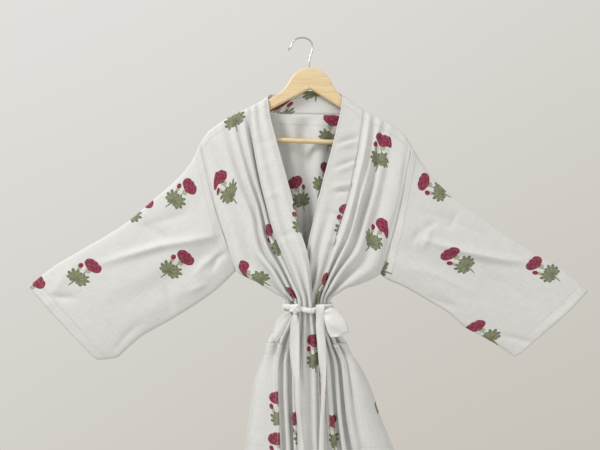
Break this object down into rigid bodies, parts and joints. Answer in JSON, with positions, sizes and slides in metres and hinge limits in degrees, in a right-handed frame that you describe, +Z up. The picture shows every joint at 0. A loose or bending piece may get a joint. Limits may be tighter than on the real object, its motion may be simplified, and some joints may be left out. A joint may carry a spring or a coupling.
{
  "type": "kimono robe on a wooden hanger",
  "caption": "Thin cotton wrap robe with wide kimono sleeves, a neck band, patch pockets and a tied belt, hanging open at the neck on a wooden hanger with a wire hook",
  "frame": {"origin": "inside of the hook's crown, where it hangs", "axes": "+X to the right of someone looking at the robe's front, +Y from its front to its back, towards the wall, +Z up"},
  "size_m": [1.2374, 0.0976, 1.3959],
  "materials": {
    "printed_cotton": "thin white plain weave with a block print",
    "belt_cotton": "thin white plain weave",
    "pale_wood": "clear satin",
    "bright_wire": "bright"
  },
  "bodies": {
    "root": {"back_panel": "printed_cotton", "front_left": "printed_cotton", "front_right": "printed_cotton", "sleeve_left": "printed_cotton", "sleeve_right": "printed_cotton", "band_left": "printed_cotton", "band_right": "printed_cotton", "band_neck": "printed_cotton", "pocket_left": "printed_cotton", "pocket_right": "printed_cotton", "belt_waist": "belt_cotton", "belt_knot": "belt_cotton", "belt_loop_left": "belt_cotton", "belt_loop_right": "belt_cotton", "belt_tail_left": "belt_cotton", "belt_tail_right": "belt_cotton", "hanger_yoke": "pale_wood", "hanger_bar": "pale_wood", "hanger_hook": "bright_wire"}
  },
  "joints": []
}
